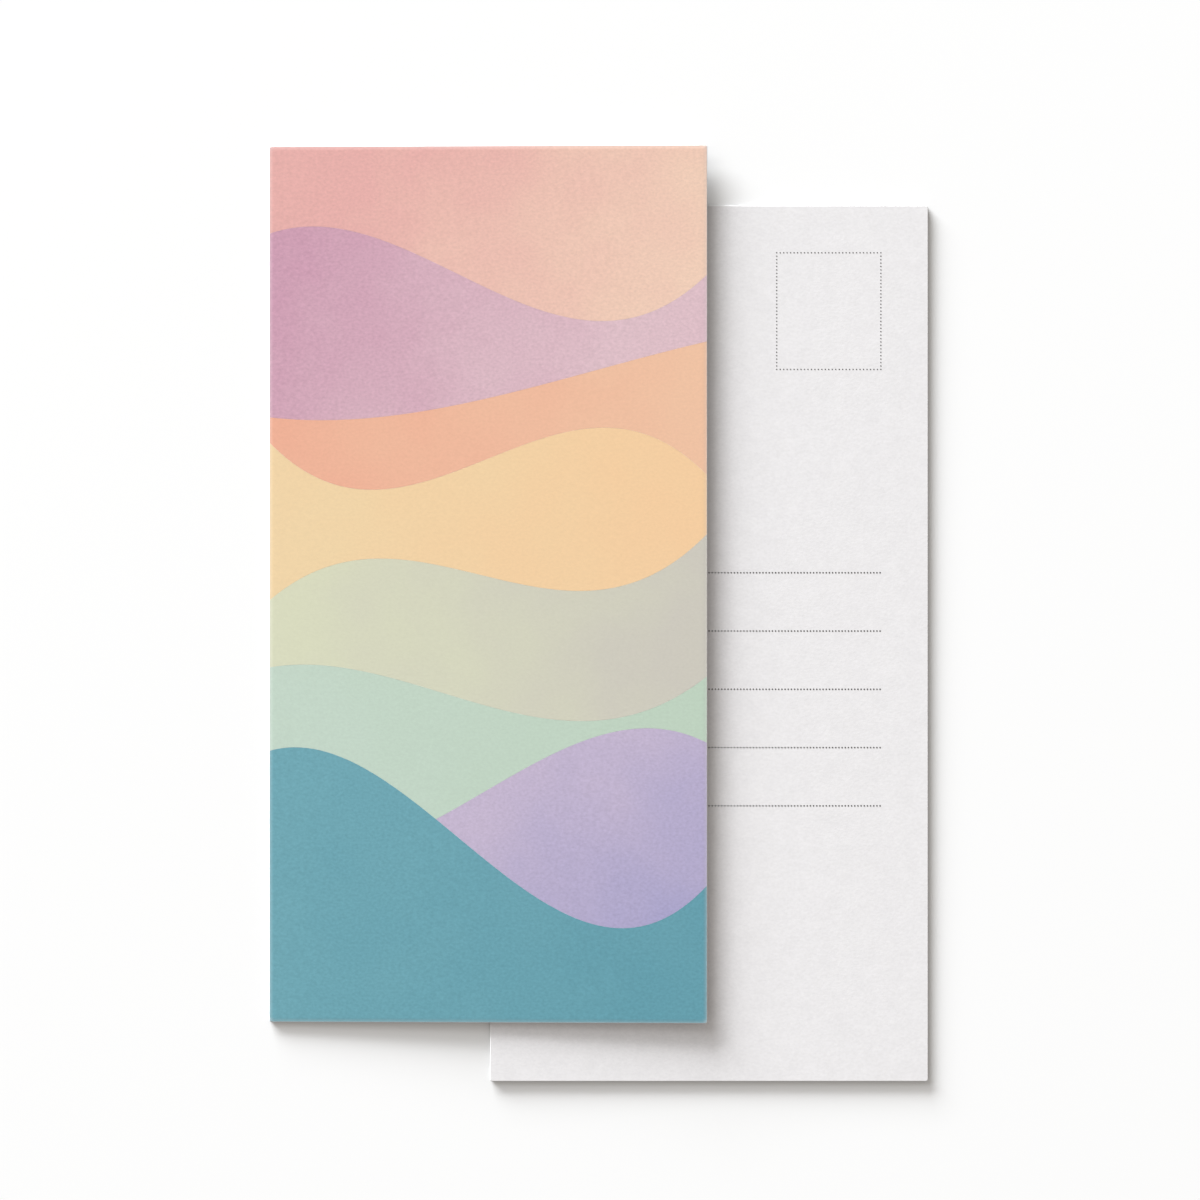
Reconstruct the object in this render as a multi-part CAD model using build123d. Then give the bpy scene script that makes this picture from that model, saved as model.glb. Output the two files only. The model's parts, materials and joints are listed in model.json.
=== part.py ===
from build123d import *
import math
import os

# A pair of picture postcards. The lower one lies picture side down on the table, and the upper one
# leans on its left edge with the picture side up. Millimetres, +Z up, +Y towards the top of the cards.
# The origin is on the table, under the middle of the pair's outline.

# Trimmed card
CARD_WIDTH = 105.0
CARD_HEIGHT = 210.0
CORNER_RADIUS = 0.5
EDGE_ROUND = 0.12  # shoulder that trimming rolls onto both outer sheets

# Plies pasted together, and the ink on them
PICTURE_SHEET = 0.25
CORE_BOARD = 0.30
ADDRESS_SHEET = 0.25
INK_FILM = 0.02

# Address side: a stamp frame in the top right corner, and ruled lines below it
PRINT_MARGIN = 11.3
STAMP_WIDTH = 25.0
STAMP_HEIGHT = 28.0
LINE_WIDTH = 0.3
FIRST_RULE_DROP = 88.0  # from the card's top edge
RULE_PITCH = 14.0
RULE_COUNT = 5

# Picture side: bands of ink like hills, one behind the other from the foot of the card. A hill's crest
# line is one S across the card, given by four heights over the card's middle: at the left edge, at two
# points that pull the line a third of the width apart, and at the right edge.
HILLS = {
    "teal": (-40.0, -30.0, -110.0, -72.0),
    "lilac": (-62.0, -78.0, -20.0, -38.0),
    "mint": (-20.0, -14.0, -50.0, -22.0),
    "sage": (-4.0, 26.0, -24.0, 12.0),
    "honey": (34.0, -2.0, 62.0, 26.0),
    "apricot": (40.0, 36.0, 50.0, 58.0),
    "mauve": (84.0, 96.0, 40.0, 74.0),
}
SKY = "rose"  # fills the card above the last hill
INK_GAP = 0.04  # hairline of bare paper between neighbouring inks

# How the upper card lies on the lower one
UPPER_SHIFT_LEFT = 53.0
UPPER_SHIFT_UP = 14.2
REST_CLEARANCE = 0.03  # between the upper card's address print and the edge it leans on

BOARD = ADDRESS_SHEET + CORE_BOARD + PICTURE_SHEET


def ply(base, thickness):
    """One sheet of the card's outline, lying on the height `base`."""
    outline = Pos(0, 0, base) * RectangleRounded(CARD_WIDTH, CARD_HEIGHT, CORNER_RADIUS)
    return extrude(outline, thickness)


def rounded_ply(base, thickness, outer_side):
    """An outer sheet, with the shoulder of its outer face rolled round by the trimming knife."""
    sheet = ply(base, thickness)
    outer_face = sheet.faces().sort_by(Axis.Z)[outer_side]
    return fillet(outer_face.edges(), EDGE_ROUND)


def under_crest(heights, lift):
    """All of the picture below one hill's crest line, with the line moved up by `lift`."""
    left = -CARD_WIDTH / 2
    right = CARD_WIDTH / 2
    foot = -CARD_HEIGHT / 2
    third = CARD_WIDTH / 3
    crest = Bezier(*[(left + place * third, height + lift) for place, height in enumerate(heights)])
    sides = Polyline(crest @ 1, (right, foot), (left, foot), crest @ 0)
    return make_face(crest + sides)


def picture_print():
    """The ink bands of the picture. They cover the flat of the sheet, out to its rolled shoulder."""
    printed = RectangleRounded(
        CARD_WIDTH - 2 * EDGE_ROUND,
        CARD_HEIGHT - 2 * EDGE_ROUND,
        CORNER_RADIUS - EDGE_ROUND,
    )
    films = {}
    rest = printed
    for ink, heights in HILLS.items():
        films[ink] = rest & under_crest(heights, 0)
        rest = rest - under_crest(heights, INK_GAP)
    films[SKY] = rest
    return {f"{ink}_print": extrude(Pos(0, 0, BOARD) * area, INK_FILM) for ink, area in films.items()}


def stamp_frame_print():
    """The frame that marks where the stamp goes. Seen from the picture side it is on the left."""
    middle_x = -(CARD_WIDTH / 2 - PRINT_MARGIN - STAMP_WIDTH / 2)
    middle_y = CARD_HEIGHT / 2 - PRINT_MARGIN - STAMP_HEIGHT / 2
    outer = Rectangle(STAMP_WIDTH + LINE_WIDTH, STAMP_HEIGHT + LINE_WIDTH)
    inner = Rectangle(STAMP_WIDTH - LINE_WIDTH, STAMP_HEIGHT - LINE_WIDTH)
    return extrude(Pos(middle_x, middle_y, -INK_FILM) * (outer - inner), INK_FILM)


def address_rules_print():
    """The ruled lines for the address, from margin to margin."""
    rule = Rectangle(CARD_WIDTH - 2 * PRINT_MARGIN, LINE_WIDTH)
    first = CARD_HEIGHT / 2 - FIRST_RULE_DROP
    places = [Pos(0, first - number * RULE_PITCH, -INK_FILM) for number in range(RULE_COUNT)]
    return Compound([extrude(place * rule, INK_FILM) for place in places])


def card():
    """One card, picture side up, with its address sheet's outer face on the height 0."""
    pieces = {
        "address_sheet": rounded_ply(0, ADDRESS_SHEET, 0),
        "core_board": ply(ADDRESS_SHEET, CORE_BOARD),
        "picture_sheet": rounded_ply(ADDRESS_SHEET + CORE_BOARD, PICTURE_SHEET, -1),
        "stamp_frame_print": stamp_frame_print(),
        "address_rules_print": address_rules_print(),
    }
    pieces.update(picture_print())
    return pieces


def lean_angle():
    """Tilt of the upper card, in degrees. Its left shoulder stands on the table, and its underside
    passes clear of the lower card's left shoulder. Both shoulders are arcs of the same radius."""
    across = UPPER_SHIFT_LEFT
    climb = (BOARD + INK_FILM - EDGE_ROUND) - EDGE_ROUND
    apart = 2 * EDGE_ROUND + INK_FILM + REST_CLEARANCE
    return math.degrees(math.atan2(climb, across) + math.asin(apart / math.hypot(across, climb)))


def lower_place():
    """Turns the lower card over about its upright middle line, onto its picture print."""
    return Pos(UPPER_SHIFT_LEFT / 2, -UPPER_SHIFT_UP / 2, BOARD + INK_FILM) * Rot(0, 180, 0)


def upper_place():
    """Tilts the upper card about its left shoulder, which stands on the table."""
    shoulder_x = -(CARD_WIDTH + UPPER_SHIFT_LEFT) / 2 + EDGE_ROUND
    shoulder = Pos(shoulder_x, UPPER_SHIFT_UP / 2, EDGE_ROUND)
    return shoulder * Rot(0, -lean_angle(), 0) * Pos(CARD_WIDTH / 2 - EDGE_ROUND, 0, -EDGE_ROUND)


def pair():
    """Every piece of both cards, in its place."""
    placed = {}
    for name, place in (("lower", lower_place()), ("upper", upper_place())):
        for piece, shape in card().items():
            placed[f"{name}_{piece}"] = place * shape
    return placed


os.makedirs("parts", exist_ok=True)
for name, shape in pair().items():
    export_step(shape, f"parts/{name}.step")
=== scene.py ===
import json
import math

import bpy
from mathutils import Matrix, Vector


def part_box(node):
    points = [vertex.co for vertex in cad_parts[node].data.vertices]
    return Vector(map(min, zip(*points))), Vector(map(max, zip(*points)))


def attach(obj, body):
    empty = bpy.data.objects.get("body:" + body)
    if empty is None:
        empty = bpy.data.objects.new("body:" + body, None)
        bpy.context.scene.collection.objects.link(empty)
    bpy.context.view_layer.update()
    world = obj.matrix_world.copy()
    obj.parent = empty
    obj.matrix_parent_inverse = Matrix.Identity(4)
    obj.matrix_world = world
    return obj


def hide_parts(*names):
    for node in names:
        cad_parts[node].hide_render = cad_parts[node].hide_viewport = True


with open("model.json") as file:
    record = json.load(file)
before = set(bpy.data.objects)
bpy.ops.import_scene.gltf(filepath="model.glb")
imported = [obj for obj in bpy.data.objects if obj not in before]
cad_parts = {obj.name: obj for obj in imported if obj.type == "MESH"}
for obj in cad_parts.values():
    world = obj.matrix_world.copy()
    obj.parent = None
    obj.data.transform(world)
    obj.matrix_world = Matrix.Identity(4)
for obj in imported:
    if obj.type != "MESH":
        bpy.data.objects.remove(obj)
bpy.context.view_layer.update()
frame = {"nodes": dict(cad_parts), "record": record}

# Two picture postcards on a white table: one lies address side up, the other leans across it with
# its picture up. Each card is modelled in millimetres, picture side up, with the outside of its
# address sheet on the height 0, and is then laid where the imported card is.

MM = 0.001


def size_mm(node):
    """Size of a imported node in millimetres."""
    low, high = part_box(node)
    return [(top - bottom) / MM for bottom, top in zip(low, high)]


def middle(node):
    """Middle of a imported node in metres."""
    low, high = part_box(node)
    return (Vector(low) + Vector(high)) / 2


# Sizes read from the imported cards, in millimetres
CARD_WIDTH, CARD_HEIGHT, CORE = size_mm("lower_core_board")
ADDRESS_SHEET = size_mm("lower_address_sheet")[2]
PICTURE_SHEET = size_mm("lower_picture_sheet")[2]
STAMP_WIDTH, STAMP_HEIGHT, INK = size_mm("lower_stamp_frame_print")
RULE_LENGTH, RULE_SPAN = size_mm("lower_address_rules_print")[:2]

# Sizes of the modelled pieces, in millimetres
CORNER = 0.5             # easing of the four corners
KNIFE_ROLL = 0.12        # shoulder that the trimming knife rolls onto an outer sheet
SEAM_EASE = 0.03         # easing of a ply's edge at a seam, which makes the seam a fine groove
SAME_LEVEL = 0.001       # points this close in height lie on one level
RULE_COUNT = 5
RULE_DOT = 0.40          # printed dots, across
STAMP_DOT = 0.33
RULE_DOT_PITCH = 0.76    # both pitches are a little wider than on a real card, so that the dots show
STAMP_DOT_PITCH = 0.82
DOT_RIM = 0.6 * INK      # rounding of a dot's rim

# Sizes of the finishes, in millimetres
PAPER_GRAIN = 0.6        # grains of the paper's tooth, coarser than real ones, so that they show
TOOTH_DEPTH = 0.010
PAPER_CLOUD = 4.0        # soft clouds of felted fibre
INK_CLOUD = 24.0         # slow clouds in the tone of a picture ink
FIBRE_SPECK = 0.8        # specks in the line ink, coarser than real ones, so that they show
SPECK_DEPTH = 0.002
EDGE_FALL = 0.03         # how far the picture falls towards the trimmed edge, and over what width
EDGE_FALL_WIDTH = 1.1
PAPER_HIGHLIGHT_RIM = 0.3          # painted highlight: pale rim along the edge of the white paper; the core board takes its own rim tone in this band
PICTURE_HIGHLIGHT_AND_WEAR = 1.1        # pale rim along the edge of the picture: painted highlight, and ink rubbed thin
CORNER_RUB = 1.4         # how far handling rubs the picture's ink thin at a corner


# Where each card lies

mounts = {mount["name"]: mount for mount in frame["record"]["mounts"]}
face_x, _, face_z = mounts["picture_face"]["axis"]
LEAN = math.atan2(face_x, face_z)   # of the upper card, about its long side
to_core_middle = Matrix.Translation((0.0, 0.0, -(ADDRESS_SHEET + CORE / 2)))


def card_place(card, turn):
    """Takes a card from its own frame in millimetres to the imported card's place in metres."""
    spot = Matrix.Translation(middle(f"{card}_core_board"))
    return spot @ Matrix.Rotation(turn, 4, "Y") @ Matrix.Scale(MM, 4) @ to_core_middle


PLACES = {"lower": card_place("lower", math.pi), "upper": card_place("upper", LEAN)}


# Colours and nodes


def colour(hex_text):
    """Linear RGBA of an sRGB hex colour."""
    channels = [int(hex_text[at:at + 2], 16) / 255 for at in (0, 2, 4)]
    linear = [c / 12.92 if c <= 0.04045 else ((c + 0.055) / 1.055) ** 2.4 for c in channels]
    return (*linear, 1.0)


def per_metre(size_in_mm):
    """Texture scale at which one feature is this many millimetres across."""
    return 1.0 / (size_in_mm * MM)


def add_node(tree, kind, settings):
    """Adds a node. A setting is a property, the value of an input, or a socket to link from."""
    node = tree.nodes.new(kind)
    sockets = {socket.identifier: socket for socket in node.inputs}
    properties = {key: value for key, value in settings.items() if key not in sockets}
    for key, value in properties.items():
        setattr(node, key, value)
    for key, value in settings.items():
        if key not in sockets:
            continue
        if isinstance(value, bpy.types.NodeSocket):
            tree.links.new(value, sockets[key])
        else:
            sockets[key].default_value = value
    return node


def out(node, identifier):
    """An output of a node."""
    return next(socket for socket in node.outputs if socket.identifier == identifier)


def seen_by_camera(tree):
    """1 where the camera looks, straight or by mirror or glass, and 0 for light that bounces."""
    rays = add_node(tree, "ShaderNodeLightPath", {})
    mirrored = add_node(tree, "ShaderNodeMath", {
        "operation": "MAXIMUM",
        "Value": out(rays, "Is Glossy Ray"),
        "Value_001": out(rays, "Is Transmission Ray"),
    })
    seen = add_node(tree, "ShaderNodeMath", {
        "operation": "MAXIMUM",
        "Value": out(rays, "Is Camera Ray"),
        "Value_001": out(mirrored, "Value"),
    })
    return out(seen, "Value")


def new_material(name):
    """An empty node material, with the place of a point in the frame's metres."""
    material = bpy.data.materials.new(name)
    material.use_nodes = True
    material.node_tree.nodes.clear()
    place = add_node(material.node_tree, "ShaderNodeTexCoord", {})
    return material, material.node_tree, out(place, "Object")


def finish_material(tree, base_colour, grain, roughness, normal):
    """The surface itself: matt, uneven with its grain, and with the faint gloss of dry fibre or ink."""
    least, most = roughness
    matt = add_node(tree, "ShaderNodeMapRange", {"Value": grain, "To Min": least, "To Max": most})
    surface = add_node(tree, "ShaderNodeBsdfPrincipled", {
        "Base Color": base_colour,
        "Roughness": out(matt, "Result"),
        "Normal": normal,
        "IOR": 1.45,
        "Specular IOR Level": 0.006,
    })
    add_node(tree, "ShaderNodeOutputMaterial", {"Surface": out(surface, "BSDF")})


# Paper

# Colours of each stock: its dark fibres, its light fibres and its rim along the trimmed edge. The white
# paper's pale rim is a painted highlight
WHITE_PAPER = ("E0DEDF", "FAF8F9", "FCFAFA")
CORE_PULP = ("ADA79E", "C6C0B7", "BFB9B0")
DULL_CUT = "A0A0A0"      # the trimmed rim to light that bounces
PAPER_HIGHLIGHT_SHARE = 0.9
CLOUD_SHARE = 0.4        # of the clouds in the paper's tone, beside the tooth
TOOTH_STRETCH = 0.75     # below 1, the grains lie longer across the card
PAPER_ROUGHNESS = (0.82, 0.95)


def edge_distances(tree, place, card):
    """Distance of a point from the nearest edge of its card, and from the next edge, in metres."""
    from_middle = add_node(tree, "ShaderNodeVectorMath", {
        "operation": "SUBTRACT",
        "Vector": place,
        "Vector_001": middle(f"{card}_core_board"),
    })
    apart = add_node(tree, "ShaderNodeVectorMath", {
        "operation": "ABSOLUTE",
        "Vector": out(from_middle, "Vector"),
    })
    inward = add_node(tree, "ShaderNodeVectorMath", {
        "operation": "SUBTRACT",
        "Vector": (CARD_WIDTH / 2 * MM, CARD_HEIGHT / 2 * MM, 0.0),
        "Vector_001": out(apart, "Vector"),
    })
    sides = add_node(tree, "ShaderNodeSeparateXYZ", {"Vector": out(inward, "Vector")})
    both = {"Value": out(sides, "X"), "Value_001": out(sides, "Y")}
    nearest = add_node(tree, "ShaderNodeMath", {"operation": "MINIMUM", **both})
    next_one = add_node(tree, "ShaderNodeMath", {"operation": "MAXIMUM", **both})
    return out(nearest, "Value"), out(next_one, "Value")


def paper_tooth(tree, place):
    """The fine tooth of uncoated paper."""
    across = add_node(tree, "ShaderNodeMapping", {
        "Vector": place,
        "Scale": (TOOTH_STRETCH, 1.0, 1.0),
    })
    grains = add_node(tree, "ShaderNodeTexNoise", {
        "Vector": out(across, "Vector"),
        "Scale": per_metre(PAPER_GRAIN),
        "Detail": 2.0,
        "Roughness": 0.6,
    })
    return out(grains, "Fac")


def card_relief(tree, tooth, edge, drop):
    """Normal of a card's face, with the paper's tooth and the fall towards the trimmed edge."""
    fall = add_node(tree, "ShaderNodeMapRange", {
        "interpolation_type": "SMOOTHSTEP",
        "Value": edge,
        "From Max": EDGE_FALL_WIDTH * MM,
        "To Max": drop * MM,
    })
    height = add_node(tree, "ShaderNodeMath", {
        "operation": "MULTIPLY_ADD",
        "Value": tooth,
        "Value_001": TOOTH_DEPTH * MM,
        "Value_002": out(fall, "Result"),
    })
    bump = add_node(tree, "ShaderNodeBump", {
        "Height": out(height, "Value"),
        "Strength": 1.0,
        "Distance": 1.0,
    })
    return out(bump, "Normal")


def rim_share(tree, distance, width, most):
    """Share of the pale rim in a surface's colour, largest at the trimmed edge."""
    rim = add_node(tree, "ShaderNodeMapRange", {
        "interpolation_type": "SMOOTHSTEP",
        "Value": distance,
        "From Max": width * MM,
        "To Min": most,
        "To Max": 0.0,
    })
    return out(rim, "Result")


def paper_stock(name, card, dark, light, rim):
    """Uncoated paper stock: fibres felt into soft clouds, and the surface keeps a fine tooth. Along
    the trimmed edge its colour turns to the rim colour, on the white paper a painted highlight. To
    light that bounces its trimmed rim is dull, so that it throws no bright line on the table."""
    material, tree, place = new_material(f"{name}_{card}")
    tooth = paper_tooth(tree, place)
    edge = edge_distances(tree, place, card)[0]
    clouds = add_node(tree, "ShaderNodeTexNoise", {
        "Vector": place,
        "Scale": per_metre(PAPER_CLOUD),
        "Detail": 3.0,
        "Roughness": 0.7,
    })
    blend = add_node(tree, "ShaderNodeMix", {
        "data_type": "FLOAT",
        "Factor_Float": CLOUD_SHARE,
        "A_Float": tooth,
        "B_Float": out(clouds, "Fac"),
    })
    tone = add_node(tree, "ShaderNodeMix", {
        "data_type": "RGBA",
        "Factor_Float": out(blend, "Result_Float"),
        "A_Color": colour(dark),
        "B_Color": colour(light),
    })
    cut = add_node(tree, "ShaderNodeMix", {
        "data_type": "RGBA",
        "Factor_Float": seen_by_camera(tree),
        "A_Color": colour(DULL_CUT),
        "B_Color": colour(rim),
    })
    # Painted highlight along the trimmed edge of the white paper; on the core board this band takes the
    # core's rim tone
    rimmed = add_node(tree, "ShaderNodeMix", {
        "data_type": "RGBA",
        "Factor_Float": rim_share(tree, edge, PAPER_HIGHLIGHT_RIM, PAPER_HIGHLIGHT_SHARE),
        "A_Color": out(tone, "Result_Color"),
        "B_Color": out(cut, "Result_Color"),
    })
    normal = card_relief(tree, tooth, edge, 0.0)
    finish_material(tree, out(rimmed, "Result_Color"), tooth, PAPER_ROUGHNESS, normal)
    return material


# Ink

# Each picture ink fades from one colour to another between two points of the card, in millimetres
# from the card's middle. The last value is how strongly the paper's tooth shows in its tone.
INKS = {
    "teal": ("70A5B1", "659CAA", (-45, -55), (50, -100), 0.17),
    "lilac": ("A7A2C7", "C2B4CC", (50, -82), (20, -40), 0.17),
    "mint": ("C1D3C5", "BCCFBD", (-50, -30), (50, -32), 0.08),
    "sage": ("D5D7BC", "CAC6BB", (-45, -10), (50, -8), 0.05),
    "honey": ("ECD1A6", "F0CA9F", (-50, 15), (50, 20), 0.06),
    "apricot": ("EAAE95", "EBBFA1", (-50, 40), (45, 40), 0.07),
    "mauve": ("CA9CB0", "D9BBC3", (-45, 88), (30, 50), 0.18),
    "rose": ("E2ADA8", "EBCAB5", (-30, 100), (48, 72), 0.14),
}
INK_DRIFT = 0.8          # how far the clouds shift a fade, as a share of its length
BARE_PAPER = "EDEBEC"    # shows through where the ink is rubbed thin, and as painted highlight along the picture's edge
PICTURE_HIGHLIGHT_AND_WEAR_SHARE = 0.16
CORNER_RUB_SHARE = 0.22
INK_ROUGHNESS = (0.74, 0.88)
LINE_INK = ("5A5858", "757373")
LINE_INK_ROUGHNESS = (0.7, 0.85)


def picture_ink(card, name):
    """Screen-printed ink on uncoated paper: flat and dry, a little uneven, grained by the tooth
    below it."""
    first, second, start, end, grain = INKS[name]
    low = PLACES[card] @ Vector((*start, 0.0))
    high = PLACES[card] @ Vector((*end, 0.0))
    run = high - low
    material, tree, place = new_material(f"{name}_screen_ink_{card}")
    tooth = paper_tooth(tree, place)
    edge, next_edge = edge_distances(tree, place, card)
    from_start = add_node(tree, "ShaderNodeVectorMath", {
        "operation": "SUBTRACT",
        "Vector": place,
        "Vector_001": low,
    })
    share = add_node(tree, "ShaderNodeVectorMath", {
        "operation": "DOT_PRODUCT",
        "Vector": out(from_start, "Vector"),
        "Vector_001": run / run.length_squared,
    })
    clouds = add_node(tree, "ShaderNodeTexNoise", {
        "Vector": place,
        "Scale": per_metre(INK_CLOUD),
        "Detail": 3.0,
    })
    drift = add_node(tree, "ShaderNodeMath", {
        "operation": "MULTIPLY_ADD",
        "Value": out(clouds, "Fac"),
        "Value_001": INK_DRIFT,
        "Value_002": -INK_DRIFT / 2,
    })
    fade = add_node(tree, "ShaderNodeMath", {
        "operation": "ADD",
        "use_clamp": True,
        "Value": out(share, "Value"),
        "Value_001": out(drift, "Value"),
    })
    tint = add_node(tree, "ShaderNodeMix", {
        "data_type": "RGBA",
        "Factor_Float": out(fade, "Value"),
        "A_Color": colour(first),
        "B_Color": colour(second),
    })
    level = add_node(tree, "ShaderNodeMapRange", {
        "Value": tooth,
        "To Min": 1.0 - grain,
        "To Max": 1.0 + grain,
    })
    grained = add_node(tree, "ShaderNodeHueSaturation", {
        "Color": out(tint, "Result_Color"),
        "Value": out(level, "Result"),
    })
    # Painted highlight along the picture's edge, with ink rubbed thin there and at the corners
    wear_and_highlight = add_node(tree, "ShaderNodeMath", {
        "operation": "ADD",
        "Value": rim_share(tree, edge, PICTURE_HIGHLIGHT_AND_WEAR, PICTURE_HIGHLIGHT_AND_WEAR_SHARE),
        "Value_001": rim_share(tree, next_edge, CORNER_RUB, CORNER_RUB_SHARE),
    })
    rimmed = add_node(tree, "ShaderNodeMix", {
        "data_type": "RGBA",
        "Factor_Float": out(wear_and_highlight, "Value"),
        "A_Color": out(grained, "Color"),
        "B_Color": colour(BARE_PAPER),
    })
    normal = card_relief(tree, tooth, edge, EDGE_FALL)
    finish_material(tree, out(rimmed, "Result_Color"), tooth, INK_ROUGHNESS, normal)
    return material


def line_ink():
    """Soft grey offset ink of the printed dots, thinner where the paper's fibres drink it."""
    full, thin = LINE_INK
    material, tree, place = new_material("grey_line_ink")
    fibres = add_node(tree, "ShaderNodeTexNoise", {
        "Vector": place,
        "Scale": per_metre(FIBRE_SPECK),
        "Detail": 2.0,
    })
    specks = out(fibres, "Fac")
    tone = add_node(tree, "ShaderNodeMix", {
        "data_type": "RGBA",
        "Factor_Float": specks,
        "A_Color": colour(full),
        "B_Color": colour(thin),
    })
    relief = add_node(tree, "ShaderNodeBump", {
        "Height": specks,
        "Strength": 1.0,
        "Distance": SPECK_DEPTH * MM,
    })
    normal = out(relief, "Normal")
    finish_material(tree, out(tone, "Result_Color"), specks, LINE_INK_ROUGHNESS, normal)
    return material


# Pieces, modelled once in a card's own frame


def select_level(piece, height):
    """Selects the vertices on one height, ready for an operator in edit mode."""
    bpy.ops.mesh.select_all(action="DESELECT")
    bpy.ops.object.mode_set(mode="OBJECT")
    for vertex in piece.data.vertices:
        vertex.select = abs(vertex.co.z - height) < SAME_LEVEL
    bpy.ops.object.mode_set(mode="EDIT")


def trimmed_ply(name, base, thickness, roll_below, roll_above):
    """One ply: a sheet with eased corners, its cut edges rolled by the knife or eased at a seam."""
    bpy.ops.object.select_all(action="DESELECT")
    bpy.ops.mesh.primitive_plane_add(size=1.0, location=(0.0, 0.0, base))
    ply = bpy.context.object
    ply.name = name
    ply.scale = (CARD_WIDTH, CARD_HEIGHT, 1.0)
    bpy.ops.object.transform_apply(location=True, rotation=True, scale=True)
    bpy.ops.object.mode_set(mode="EDIT")
    bpy.ops.mesh.select_all(action="SELECT")
    bpy.ops.mesh.bevel(offset=CORNER, segments=6, affect="VERTICES")
    bpy.ops.mesh.select_all(action="SELECT")
    bpy.ops.mesh.extrude_region_move(TRANSFORM_OT_translate={"value": (0.0, 0.0, thickness)})
    for height, roll in ((base + thickness, roll_above), (base, roll_below)):
        select_level(ply, height)
        bpy.ops.mesh.bevel(offset=roll, segments=5, affect="EDGES")
    bpy.ops.mesh.select_all(action="SELECT")
    bpy.ops.mesh.normals_make_consistent(inside=False)
    bpy.ops.object.mode_set(mode="OBJECT")
    return ply


def ink_dot(name, across, spot):
    """One printed dot on the address side: a flat disc of ink with a rounded rim."""
    bpy.ops.object.select_all(action="DESELECT")
    bpy.ops.mesh.primitive_cylinder_add(
        vertices=10,
        radius=across / 2,
        depth=INK,
        location=(*spot, -INK / 2),
    )
    dot = bpy.context.object
    dot.name = name
    bpy.ops.object.transform_apply(location=True, rotation=True, scale=True)
    bpy.ops.object.mode_set(mode="EDIT")
    select_level(dot, -INK)
    bpy.ops.mesh.bevel(offset=DOT_RIM, segments=2, affect="EDGES")
    bpy.ops.object.mode_set(mode="OBJECT")
    return dot


def repeat(piece, count, step):
    """Repeats a piece in a row."""
    bpy.ops.object.select_all(action="DESELECT")
    piece.select_set(True)
    bpy.context.view_layer.objects.active = piece
    bpy.ops.object.modifier_add(type="ARRAY")
    row = piece.modifiers[-1]
    row.count = count
    row.use_relative_offset = False
    row.use_constant_offset = True
    row.constant_offset_displace = step
    bpy.ops.object.modifier_apply(modifier=row.name)


def on_card(node):
    """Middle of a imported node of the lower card, in the card's own frame."""
    return PLACES["lower"].inverted() @ middle(node)


def dots_along(length, pitch):
    """Number of dots on a line, and their exact step."""
    steps = round(length / pitch)
    return steps + 1, length / steps


def address_rules():
    """The dotted lines for the address."""
    centre = on_card("lower_address_rules_print")
    length = RULE_LENGTH - RULE_DOT
    span = RULE_SPAN - RULE_DOT
    count, step = dots_along(length, RULE_DOT_PITCH)
    dots = ink_dot("address_rules", RULE_DOT, (centre.x - length / 2, centre.y - span / 2))
    repeat(dots, count, (step, 0.0, 0.0))
    repeat(dots, RULE_COUNT, (0.0, span / (RULE_COUNT - 1), 0.0))
    return dots


def stamp_frame():
    """The dotted frame for the stamp. Its corner dots belong to the level lines."""
    centre = on_card("lower_stamp_frame_print")
    width = STAMP_WIDTH - STAMP_DOT
    height = STAMP_HEIGHT - STAMP_DOT
    left = centre.x - width / 2
    foot = centre.y - height / 2
    count, step = dots_along(width, STAMP_DOT_PITCH)
    level = ink_dot("stamp_frame", STAMP_DOT, (left, foot))
    repeat(level, count, (step, 0.0, 0.0))
    repeat(level, 2, (0.0, height, 0.0))
    count, step = dots_along(height, STAMP_DOT_PITCH)
    upright = ink_dot("stamp_frame_uprights", STAMP_DOT, (left, foot + step))
    repeat(upright, count - 2, (0.0, step, 0.0))
    repeat(upright, 2, (width, 0.0, 0.0))
    bpy.ops.object.select_all(action="DESELECT")
    upright.select_set(True)
    level.select_set(True)
    bpy.context.view_layer.objects.active = level
    bpy.ops.object.join()
    return level


def lay(card, model, node, material):
    """Lays a copy of a modelled piece on one card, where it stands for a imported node."""
    piece = model.copy()
    piece.data = model.data.copy()
    piece.name = f"{card}_{model.name}"
    bpy.context.collection.objects.link(piece)
    piece.matrix_world = PLACES[card]
    bpy.ops.object.select_all(action="DESELECT")
    piece.select_set(True)
    bpy.context.view_layer.objects.active = piece
    bpy.ops.object.transform_apply(location=True, rotation=True, scale=True)
    piece.data.materials.append(material)
    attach(piece, f"{card}_card")
    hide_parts(f"{card}_{node}")


def print_picture(card):
    """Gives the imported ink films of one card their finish."""
    for ink in INKS:
        film = frame["nodes"][f"{card}_{ink}_print"]
        film.data.materials.clear()
        film.data.materials.append(picture_ink(card, ink))


address_ply = trimmed_ply("address_ply", 0.0, ADDRESS_SHEET, KNIFE_ROLL, SEAM_EASE)
core_ply = trimmed_ply("core_ply", ADDRESS_SHEET, CORE, SEAM_EASE, SEAM_EASE)
picture_ply = trimmed_ply("picture_ply", ADDRESS_SHEET + CORE, PICTURE_SHEET, SEAM_EASE, KNIFE_ROLL)
rules = address_rules()
stamp = stamp_frame()
grey = line_ink()
for card in PLACES:
    white = paper_stock("uncoated_white_paper", card, *WHITE_PAPER)
    board = paper_stock("pulp_core_board", card, *CORE_PULP)
    lay(card, address_ply, "address_sheet", white)
    lay(card, core_ply, "core_board", board)
    lay(card, picture_ply, "picture_sheet", white)
    lay(card, rules, "address_rules_print", grey)
    lay(card, stamp, "stamp_frame_print", grey)
    print_picture(card)
for model in (address_ply, core_ply, picture_ply, rules, stamp):
    bpy.data.objects.remove(model)


# Table, light and camera, in metres

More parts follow.
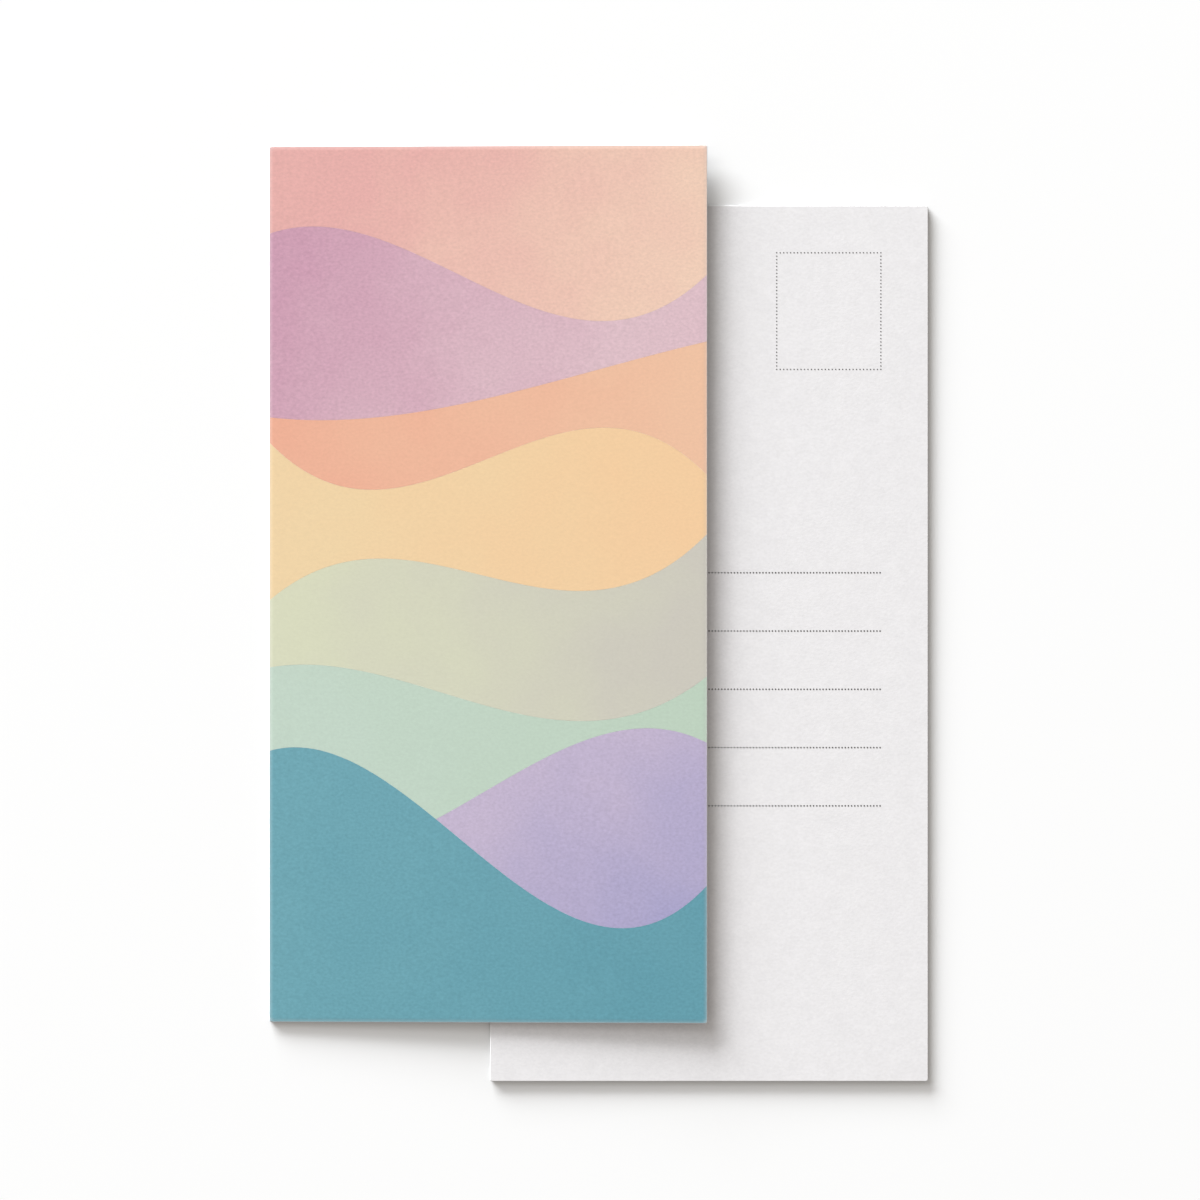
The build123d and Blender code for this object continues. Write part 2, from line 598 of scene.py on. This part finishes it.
PIXELS = 1200                # of the picture, across
PIXELS_PER_MM = 4.163        # on the table
CAMERA_HEIGHT = 500.0 * MM
VIEW_MIDDLE = (0.34 * MM, 3.3 * MM)
TABLE_RADIUS = 6.0
TABLE_GAP = 0.01 * MM        # keeps the table top clear of the cards' lowest faces
WHITE_FROM = 0.26            # between these distances from the middle of the cards
WHITE_BY = 0.6               # the table turns into plain white
TABLE_WHITE = "FDFDFD"
TABLE_BOUNCE = "A0A0A0"      # the table to light that bounces
PLAIN_WHITE = "FFFFFF"
LAMP_DISTANCE = 20.0         # far off, so that the light is even over both cards
KEY_TINT = "F9FCFF"
SKY_TINT = "FFFAF4"
SKY_LEVEL = 0.395


def table():
    """White table top. It turns into plain white away from the cards, for the camera alone. To
    light that bounces it is grey, so that it doesn't light the cards from below."""
    bpy.ops.object.select_all(action="DESELECT")
    bpy.ops.mesh.primitive_circle_add(
        vertices=64,
        radius=TABLE_RADIUS,
        fill_type="NGON",
        location=(0.0, 0.0, -TABLE_GAP),
    )
    top = bpy.context.object
    top.name = "table"
    material, tree, place = new_material("white_table")
    far = add_node(tree, "ShaderNodeVectorMath", {"operation": "LENGTH", "Vector": place})
    fade = add_node(tree, "ShaderNodeMapRange", {
        "interpolation_type": "SMOOTHSTEP",
        "Value": out(far, "Value"),
        "From Min": WHITE_FROM,
        "From Max": WHITE_BY,
    })
    seen = seen_by_camera(tree)
    blank = add_node(tree, "ShaderNodeMath", {
        "operation": "MULTIPLY",
        "Value": out(fade, "Result"),
        "Value_001": seen,
    })
    tone = add_node(tree, "ShaderNodeMix", {
        "data_type": "RGBA",
        "Factor_Float": seen,
        "A_Color": colour(TABLE_BOUNCE),
        "B_Color": colour(TABLE_WHITE),
    })
    matt = add_node(tree, "ShaderNodeBsdfDiffuse", {"Color": out(tone, "Result_Color")})
    white = add_node(tree, "ShaderNodeEmission", {"Color": colour(PLAIN_WHITE)})
    mixed = add_node(tree, "ShaderNodeMixShader", {
        "Fac": out(blank, "Value"),
        "Shader": out(matt, "BSDF"),
        "Shader_001": out(white, "Emission"),
    })
    add_node(tree, "ShaderNodeOutputMaterial", {"Surface": out(mixed, "Shader")})
    top.data.materials.append(material)


def softbox(name, side, spread, low, high, watts):
    """A softbox that faces the cards. Seen from them, in degrees, it stands in the direction
    `side`, reaches `spread` to both sides of it, and stands between two heights over the table."""
    height = math.radians((low + high) / 2)
    toward = Vector((
        math.cos(height) * math.cos(math.radians(side)),
        math.cos(height) * math.sin(math.radians(side)),
        math.sin(height),
    ))
    bpy.ops.object.light_add(type="AREA", location=toward * LAMP_DISTANCE)
    lamp = bpy.context.object
    lamp.name = name
    lamp.rotation_euler = (-toward).to_track_quat("-Z", "Y").to_euler()
    lamp.data.shape = "RECTANGLE"
    lamp.data.size = 2 * LAMP_DISTANCE * math.cos(height) * math.tan(math.radians(spread))
    lamp.data.size_y = 2 * LAMP_DISTANCE * math.tan(math.radians((high - low) / 2))
    lamp.data.energy = watts
    lamp.data.color = colour(KEY_TINT)[:3]
    lamp.visible_camera = False


def light():
    """A long low strip and a box above it, both towards the top left of the picture, draw the soft
    shadows. An even sky fills them, and looks plain white to the camera."""
    softbox("strip", side=121.5, spread=21.5, low=3.0, high=14.0, watts=14540.0)
    softbox("side_box", side=130.0, spread=27.5, low=14.0, high=32.0, watts=1810.0)
    world = bpy.data.worlds.new("even_sky")
    world.use_nodes = True
    tree = world.node_tree
    tree.nodes.clear()
    sky = add_node(tree, "ShaderNodeBackground", {"Color": colour(SKY_TINT), "Strength": SKY_LEVEL})
    white = add_node(tree, "ShaderNodeBackground", {"Color": colour(PLAIN_WHITE), "Strength": 1.0})
    mixed = add_node(tree, "ShaderNodeMixShader", {
        "Fac": seen_by_camera(tree),
        "Shader": out(sky, "Background"),
        "Shader_001": out(white, "Background"),
    })
    add_node(tree, "ShaderNodeOutputWorld", {"Surface": out(mixed, "Shader")})
    bpy.context.scene.world = world


def camera():
    """Straight above the cards."""
    bpy.ops.object.camera_add(location=(*VIEW_MIDDLE, CAMERA_HEIGHT), rotation=(0.0, 0.0, 0.0))
    view_width = PIXELS / PIXELS_PER_MM * MM
    lens = bpy.context.object.data
    lens.sensor_width = 36.0
    lens.lens = lens.sensor_width * CAMERA_HEIGHT / view_width
    lens.clip_start = 0.01
    lens.clip_end = 100.0
    bpy.context.scene.camera = bpy.context.object


table()
light()
camera()
bpy.context.scene.view_settings.view_transform = "Standard"
